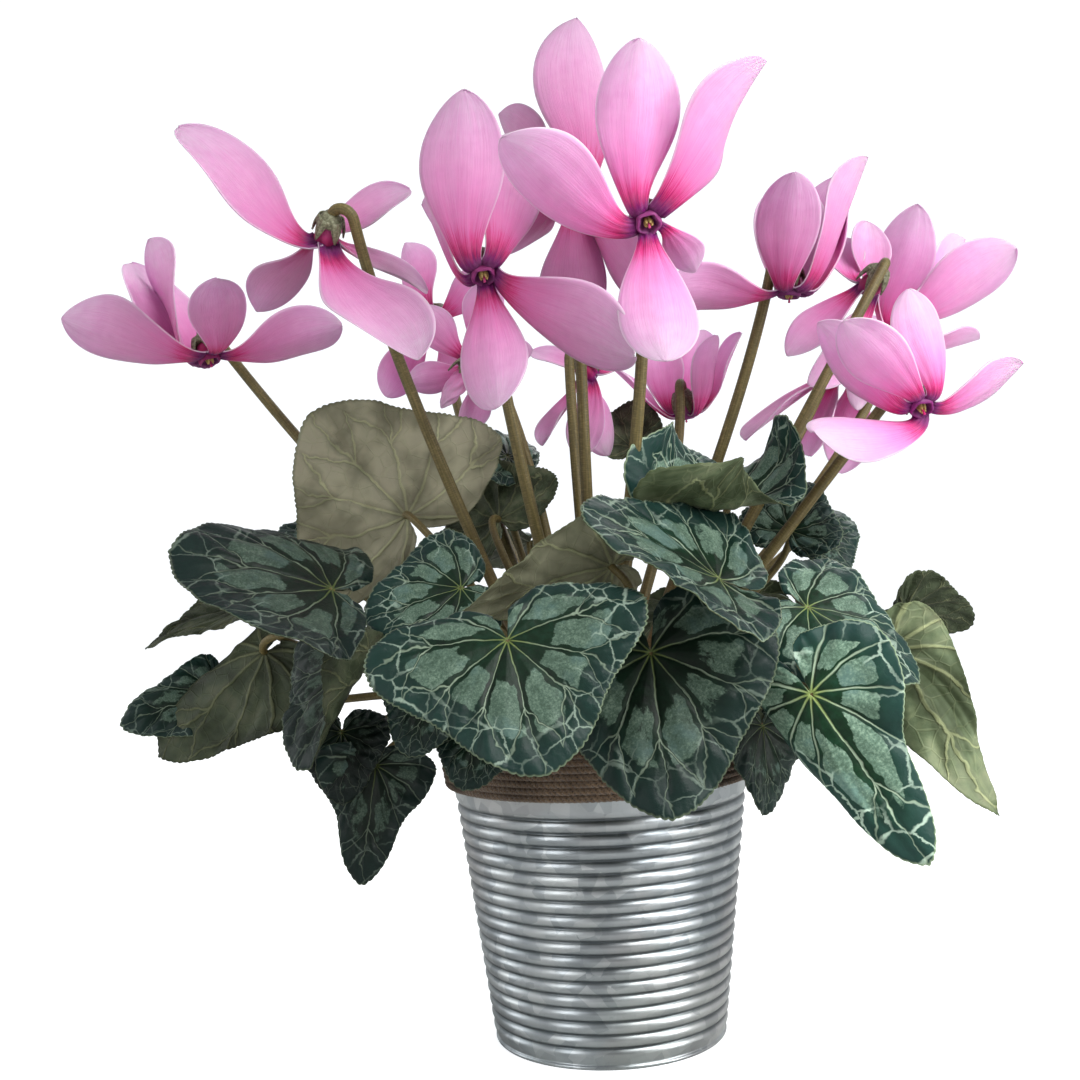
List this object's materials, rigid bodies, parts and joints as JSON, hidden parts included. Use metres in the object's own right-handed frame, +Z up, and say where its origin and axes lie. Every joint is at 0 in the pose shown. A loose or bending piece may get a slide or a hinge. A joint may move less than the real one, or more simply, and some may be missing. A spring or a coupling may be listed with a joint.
{
  "type": "potted cyclamen",
  "caption": "Flowering cyclamen with marbled heart-shaped leaves and swept-back petals, in a ribbed metal pot bound with rope.",
  "frame": {"origin": "centre of the pot's flat underside, on the surface that the pot stands on", "axes": "+Z up the pot's axis, -Y towards the side that the picture shows, +X to the right seen from there"},
  "size_m": [0.415, 0.2576, 0.4191],
  "materials": {
    "zinc": "galvanised, spangled and weathered, satin",
    "jute": "twisted brown jute rope, matt and hairy",
    "soil": "crumbly dark potting soil, matt",
    "tuber": "corky brown tuber, matt",
    "leaf": "dark blue-green leaf marbled silver, semi-matt, paler underside",
    "petal": "soft pink petal with a deep magenta base, satin",
    "stalk": "fleshy olive-brown stalk, satin"
  },
  "bodies": {
    "root": {"pot": "zinc", "rope_band": "jute", "soil": "soil", "tuber": "tuber", "leaf_front": "leaf", "leaf_front_right": "leaf", "leaf_upper_right": "leaf", "leaf_curly_right": "leaf", "leaf_right": "leaf", "leaf_long_right": "leaf", "leaf_far_right": "leaf", "leaf_left": "leaf", "leaf_inner_left": "leaf", "leaf_pale_front": "leaf", "leaf_pale_back": "leaf", "leaf_small_back": "leaf", "leaf_low_left": "leaf", "leaf_thin_left": "leaf", "leaf_folded_left": "leaf", "leaf_round_left": "leaf", "leaf_under_front": "leaf", "leaf_under_right": "leaf", "leaf_back_right": "leaf", "leaf_back_centre": "leaf", "leaf_inner_right": "leaf", "leaf_behind_left": "leaf", "leaf_rear_left": "leaf", "leaf_rear": "leaf", "leaf_rear_right": "leaf", "leaf_rear_side": "leaf", "bloom_far_left": "petal", "stalk_far_left": "stalk", "bloom_left": "petal", "stalk_left": "stalk", "bloom_centre": "petal", "stalk_centre": "stalk", "bloom_top": "petal", "stalk_top": "stalk", "bloom_front": "petal", "stalk_front": "stalk", "bloom_right": "petal", "stalk_right": "stalk", "bloom_right_back": "petal", "stalk_right_back": "stalk", "bloom_far_right": "petal", "stalk_far_right": "stalk", "bloom_low_right": "petal", "stalk_low_right": "stalk", "bloom_back": "petal", "stalk_back": "stalk", "bloom_small_left": "petal", "stalk_small_left": "stalk", "bloom_small_front": "petal", "stalk_small_front": "stalk", "bloom_behind": "petal", "stalk_behind": "stalk", "bloom_low_back": "petal", "stalk_low_back": "stalk", "bud": "petal", "stalk_bud": "stalk"}
  },
  "joints": []
}
